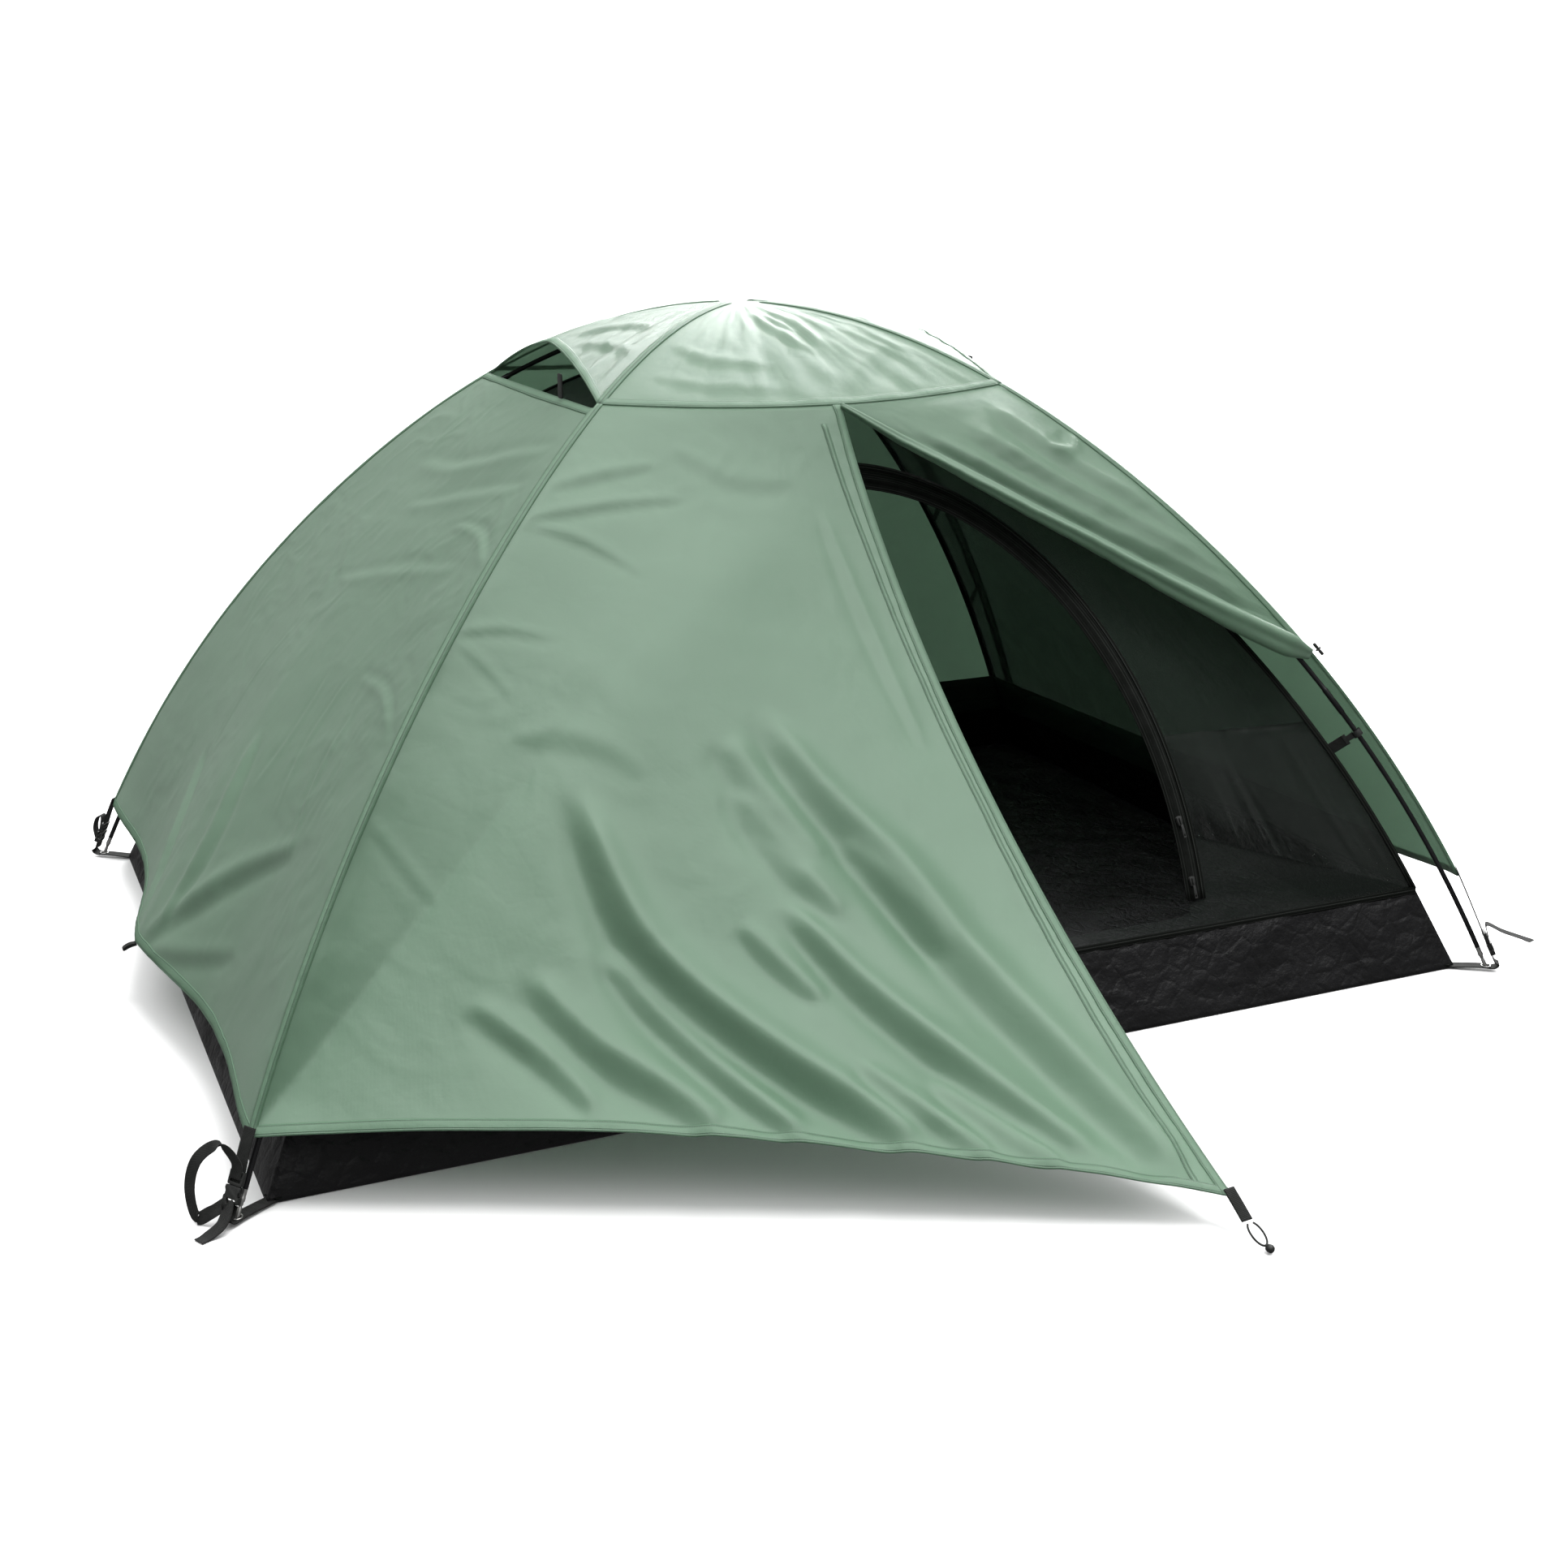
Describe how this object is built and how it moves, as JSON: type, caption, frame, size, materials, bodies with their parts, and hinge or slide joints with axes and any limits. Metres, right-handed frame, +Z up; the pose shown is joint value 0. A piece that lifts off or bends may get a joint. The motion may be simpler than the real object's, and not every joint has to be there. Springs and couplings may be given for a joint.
{
  "type": "dome tent",
  "caption": "Two-pole dome tent: rain fly with half-open front door and roof vents over an inner tent with a bathtub floor.",
  "frame": {"origin": "centre of the floor's underside, on the ground", "axes": "+X along the tent's length, -Y out of the front door, +Z up"},
  "size_m": [2.2681, 2.372, 1.144],
  "materials": {
    "fly_fabric": "sage green coated polyester taffeta, slight sheen",
    "inner_fabric": "dark green uncoated taffeta",
    "floor_fabric": "black coated floor cloth, crinkled, slightly glossy",
    "pole_tube": "satin black",
    "pole_tip_metal": "turned, satin",
    "black_plastic": "moulded black acetal",
    "zip_tape": "black woven zip tape with coil",
    "shock_cord": "black braided elastic cord",
    "webbing": "black woven polyester webbing"
  },
  "bodies": {
    "tent": {"bathtub_back": "floor_fabric", "bathtub_front": "floor_fabric", "bathtub_left": "floor_fabric", "bathtub_right": "floor_fabric", "buckle_female_bl": "black_plastic", "buckle_female_br": "black_plastic", "buckle_female_fl": "black_plastic", "buckle_female_fr": "black_plastic", "corner_strap_bl": "webbing", "corner_strap_br": "webbing", "corner_strap_fl": "webbing", "corner_strap_fr": "webbing", "crown_tie": "webbing", "door_toggle_loop": "shock_cord", "floor_sheet": "floor_fabric", "fly_back": "fly_fabric", "fly_door_right_rolled": "fly_fabric", "fly_front_left": "fly_fabric", "fly_front_right": "fly_fabric", "fly_left_end": "fly_fabric", "fly_right_end": "fly_fabric", "fly_roof_cap": "fly_fabric", "inner_back": "inner_fabric", "inner_door_gathered": "inner_fabric", "inner_front": "inner_fabric", "inner_left": "inner_fabric", "inner_right": "inner_fabric", "inner_zip_tape": "zip_tape", "pole_a": "pole_tube", "pole_b": "pole_tube", "pole_clip_bl_1": "black_plastic", "pole_clip_bl_2": "black_plastic", "pole_clip_br_1": "black_plastic", "pole_clip_br_2": "black_plastic", "pole_clip_fl_1": "black_plastic", "pole_clip_fl_2": "black_plastic", "pole_clip_fr_1": "black_plastic", "pole_clip_fr_2": "black_plastic", "pole_tip_bl": "pole_tip_metal", "pole_tip_br": "pole_tip_metal", "pole_tip_fl": "pole_tip_metal", "pole_tip_fr": "pole_tip_metal", "pull_out_back": "webbing", "pull_out_left": "webbing", "pull_out_right": "webbing"},
    "left_door": {"fly_door_left": "fly_fabric", "fly_zip_tape": "zip_tape", "tip_webbing_tab": "webbing", "tip_shock_cord": "shock_cord", "tip_cord_ball": "shock_cord"},
    "fly_slider": {"fly_zip_slider": "black_plastic"},
    "inner_slider_low": {"inner_zip_slider_low": "black_plastic"},
    "inner_slider_high": {"inner_zip_slider_high": "black_plastic"},
    "strut_left": {"vent_strut_left": "black_plastic"},
    "strut_right": {"vent_strut_right": "black_plastic"},
    "toggle": {"door_toggle": "black_plastic"},
    "buckle_fl": {"buckle_male_fl": "black_plastic"},
    "buckle_fr": {"buckle_male_fr": "black_plastic"},
    "buckle_br": {"buckle_male_br": "black_plastic"},
    "buckle_bl": {"buckle_male_bl": "black_plastic"}
  },
  "joints": [
    {"name": "left_door_fold", "type": "hinge", "parent": "tent", "child": "left_door", "pos_m": [-1.06815, -0.8036, 0.11323], "axis": [-0.7462, -0.2959, -0.5963], "range_deg": [0, 95]},
    {"name": "fly_zip_run", "type": "slide", "parent": "left_door", "child": "fly_slider", "axis": [-0.074, 0.8548, 0.5137], "range_m": [0, 0.1]},
    {"name": "inner_zip_low_run", "type": "slide", "parent": "tent", "child": "inner_slider_low", "axis": [-0.0563, 0.3431, 0.9376], "range_m": [0, 0.06]},
    {"name": "inner_zip_high_run", "type": "slide", "parent": "tent", "child": "inner_slider_high", "axis": [-0.1343, 0.3802, 0.9151], "range_m": [0, 0.08]},
    {"name": "vent_strut_left_fold", "type": "hinge", "parent": "tent", "child": "strut_left", "pos_m": [-0.38228, -0.14921, 1.00699], "axis": [0, -1, 0], "range_deg": [0, 85]},
    {"name": "vent_strut_right_fold", "type": "hinge", "parent": "tent", "child": "strut_right", "pos_m": [0.38228, -0.14921, 1.00699], "axis": [0, 1, 0], "range_deg": [0, 85]},
    {"name": "door_toggle_turn", "type": "hinge", "parent": "tent", "child": "toggle", "pos_m": [0.81768, -0.63169, 0.57371], "axis": [0.5958, -0.4459, 0.668], "range_deg": [-50, 50]},
    {"name": "buckle_fl_release", "type": "slide", "parent": "tent", "child": "buckle_fl", "axis": [0.3581, 0.2346, 0.9037], "range_m": [0, 0.016]},
    {"name": "buckle_fr_release", "type": "slide", "parent": "tent", "child": "buckle_fr", "axis": [-0.3739, 0.2459, 0.8943], "range_m": [0, 0.016]},
    {"name": "buckle_br_release", "type": "slide", "parent": "tent", "child": "buckle_br", "axis": [-0.3581, -0.2346, 0.9037], "range_m": [0, 0.016]},
    {"name": "buckle_bl_release", "type": "slide", "parent": "tent", "child": "buckle_bl", "axis": [0.3581, -0.2346, 0.9037], "range_m": [0, 0.016]}
  ]
}
